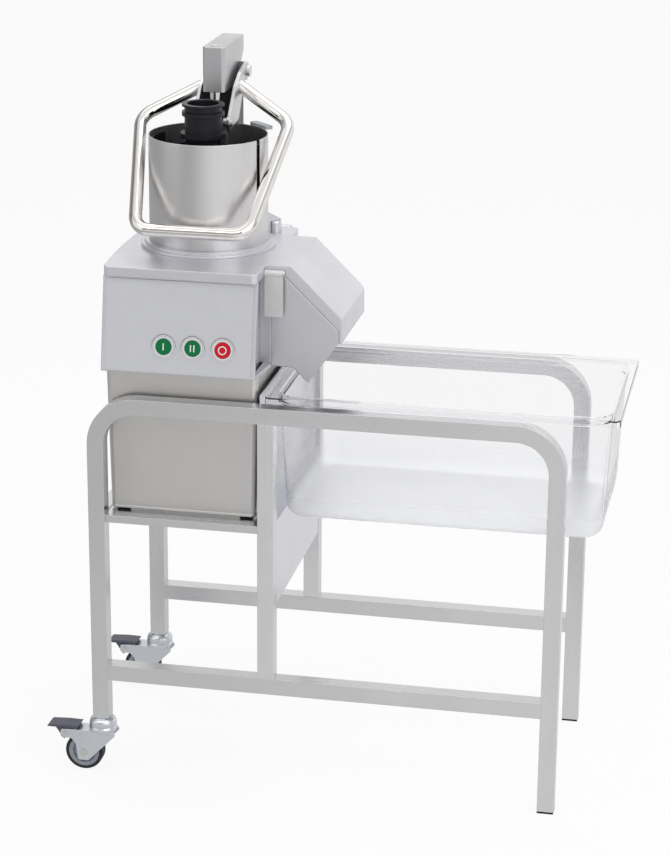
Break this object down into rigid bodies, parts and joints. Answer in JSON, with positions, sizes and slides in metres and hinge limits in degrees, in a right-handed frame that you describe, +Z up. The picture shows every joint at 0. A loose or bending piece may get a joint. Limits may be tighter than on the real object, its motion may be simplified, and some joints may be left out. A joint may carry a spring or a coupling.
{
  "type": "vegetable cutting machine",
  "caption": "Vegetable cutting machine with a lever feed head and side chute, on a tube stand with casters and a clear pan that slides along the rails.",
  "frame": {"origin": "on the floor, under the middle of the whole machine's box", "axes": "+Z up, +X from the casters towards the pan, +Y away from the operator"},
  "size_m": [0.8744, 0.387, 1.111],
  "materials": {
    "stainless_tube": "brushed along the tube",
    "stainless_sheet": "brushed",
    "hopper_steel": "brushed round the cylinder",
    "cast_aluminium": "fine blasted",
    "latch_finish": "textured",
    "head_steel": "brushed",
    "polished_steel": "polished",
    "zinc_plate": "bright zinc",
    "steel_fixings": "turned",
    "cutter_steel": "ground",
    "black_cast": "satin black",
    "lever_steel": "blasted",
    "black_plastic": "moulded",
    "dark_plastic": "moulded",
    "wheel_plastic": "moulded",
    "tyre_rubber": "matt",
    "pale_plastic": "moulded",
    "panel_film": "printed film",
    "white_plastic": "moulded",
    "green_plastic": "moulded",
    "red_plastic": "moulded",
    "motor_paint": "satin grey",
    "clear_plastic": "clear moulded"
  },
  "bodies": {
    "stand": {"front_hoop": "stainless_tube", "rear_hoop": "stainless_tube", "lower_rails": "stainless_tube", "mid_posts": "stainless_tube", "shelf_channels": "stainless_tube", "cross_bars": "stainless_tube", "splash_guard": "stainless_sheet", "foot_caps": "black_plastic", "caster_stems": "zinc_plate", "base_shell": "stainless_sheet", "base_plate": "stainless_sheet", "base_feet": "tyre_rubber", "motor": "motor_paint", "bowl_housing": "cast_aluminium", "shaft_seal": "tyre_rubber", "control_panel": "panel_film", "start_button_collar": "white_plastic", "speed_button_collar": "white_plastic", "stop_button_collar": "white_plastic", "chute": "cast_aluminium", "hinge_pin": "polished_steel"},
    "pan": {"gn_pan": "clear_plastic"},
    "cutter": {"drive_shaft": "steel_fixings", "ejector_disc": "pale_plastic", "slicing_disc": "cutter_steel", "disc_nut": "steel_fixings"},
    "lid": {"lid": "cast_aluminium", "latch_pin": "polished_steel", "hopper_base_ring": "cast_aluminium", "hopper_cylinder": "hopper_steel", "rim_tab": "pale_plastic", "lock_knob": "cast_aluminium", "mast": "black_cast", "mast_screws": "steel_fixings", "pivot_bolts": "steel_fixings"},
    "latch": {"lid_latch": "latch_finish"},
    "lever": {"lever_arms": "lever_steel", "handle_loop": "polished_steel", "crank_pins": "steel_fixings"},
    "pusher": {"pusher_cup": "black_plastic", "pusher_lugs": "black_plastic", "feed_tube": "black_plastic", "pusher_rod": "steel_fixings", "guide_column": "steel_fixings", "head_box": "head_steel", "lug_pins": "steel_fixings"},
    "links": {"lever_links": "lever_steel"},
    "start_button": {"start_button": "green_plastic"},
    "speed_button": {"speed_button": "green_plastic"},
    "stop_button": {"stop_button": "red_plastic"},
    "front_swivel": {"front_caster_fork": "zinc_plate", "front_caster_pins": "steel_fixings"},
    "front_wheel": {"front_caster_wheel": "wheel_plastic", "front_caster_tyre": "tyre_rubber"},
    "front_brake": {"front_caster_pedal": "dark_plastic"},
    "rear_swivel": {"rear_caster_fork": "zinc_plate", "rear_caster_pins": "steel_fixings"},
    "rear_wheel": {"rear_caster_wheel": "wheel_plastic", "rear_caster_tyre": "tyre_rubber"},
    "rear_brake": {"rear_caster_pedal": "dark_plastic"}
  },
  "joints": [
    {"name": "pan_slide", "type": "slide", "parent": "stand", "child": "pan", "axis": [1, 0, 0], "range_m": [0, 0.25]},
    {"name": "cutter_spin", "type": "hinge", "parent": "stand", "child": "cutter", "pos_m": [-0.21925, 0.016, 0.74], "axis": [0, 0, 1], "continuous": true},
    {"name": "lid_hinge", "type": "hinge", "parent": "stand", "child": "lid", "pos_m": [-0.21925, 0.162, 0.8045], "axis": [-1, 0, 0], "range_deg": [0, 80]},
    {"name": "latch_hinge", "type": "hinge", "parent": "lid", "child": "latch", "pos_m": [-0.08875, -0.103, 0.803], "axis": [-1, 0, 0], "range_deg": [0, 90]},
    {"name": "lever_swing", "type": "hinge", "parent": "lid", "child": "lever", "pos_m": [-0.21925, 0.15, 1.058], "axis": [-1, 0, 0], "range_deg": [0, 67.78]},
    {"name": "pusher_lift", "type": "slide", "parent": "lid", "child": "pusher", "axis": [0, 0, 1], "range_m": [0, 0.14]},
    {"name": "link_pivot", "type": "hinge", "parent": "lever", "child": "links", "pos_m": [-0.21925, 0.0398, 0.99691], "axis": [1, 0, 0], "range_deg": [0, 67.78]},
    {"name": "start_press", "type": "slide", "parent": "stand", "child": "start_button", "axis": [0, 0.9849, -0.1734], "range_m": [0, 0.0025], "stiffness_N_per_m": 1200, "springref_m": -0.0005},
    {"name": "speed_press", "type": "slide", "parent": "stand", "child": "speed_button", "axis": [0, 0.9849, -0.1734], "range_m": [0, 0.0025], "stiffness_N_per_m": 1200, "springref_m": -0.0005},
    {"name": "stop_press", "type": "slide", "parent": "stand", "child": "stop_button", "axis": [0, 0.9849, -0.1734], "range_m": [0, 0.0025], "stiffness_N_per_m": 1200, "springref_m": -0.0005},
    {"name": "front_caster_swivel", "type": "hinge", "parent": "stand", "child": "front_swivel", "pos_m": [-0.34925, -0.1715, 0.08], "axis": [0, 0, 1], "continuous": true},
    {"name": "front_wheel_spin", "type": "hinge", "parent": "front_swivel", "child": "front_wheel", "pos_m": [-0.37875, -0.1715, 0.03], "axis": [0, 1, 0], "continuous": true},
    {"name": "front_brake_press", "type": "hinge", "parent": "front_swivel", "child": "front_brake", "pos_m": [-0.40825, -0.1715, 0.06], "axis": [0, -1, 0], "range_deg": [0, 12]},
    {"name": "rear_caster_swivel", "type": "hinge", "parent": "stand", "child": "rear_swivel", "pos_m": [-0.34925, 0.1715, 0.08], "axis": [0, 0, 1], "continuous": true},
    {"name": "rear_wheel_spin", "type": "hinge", "parent": "rear_swivel", "child": "rear_wheel", "pos_m": [-0.37875, 0.1715, 0.03], "axis": [0, 1, 0], "continuous": true},
    {"name": "rear_brake_press", "type": "hinge", "parent": "rear_swivel", "child": "rear_brake", "pos_m": [-0.40825, 0.1715, 0.06], "axis": [0, -1, 0], "range_deg": [0, 12]}
  ],
  "couplings": [
    {"joint": "pusher_lift", "follows": "lever_swing", "m_per_rad": 0.11835},
    {"joint": "link_pivot", "follows": "lever_swing", "ratio": 1}
  ]
}
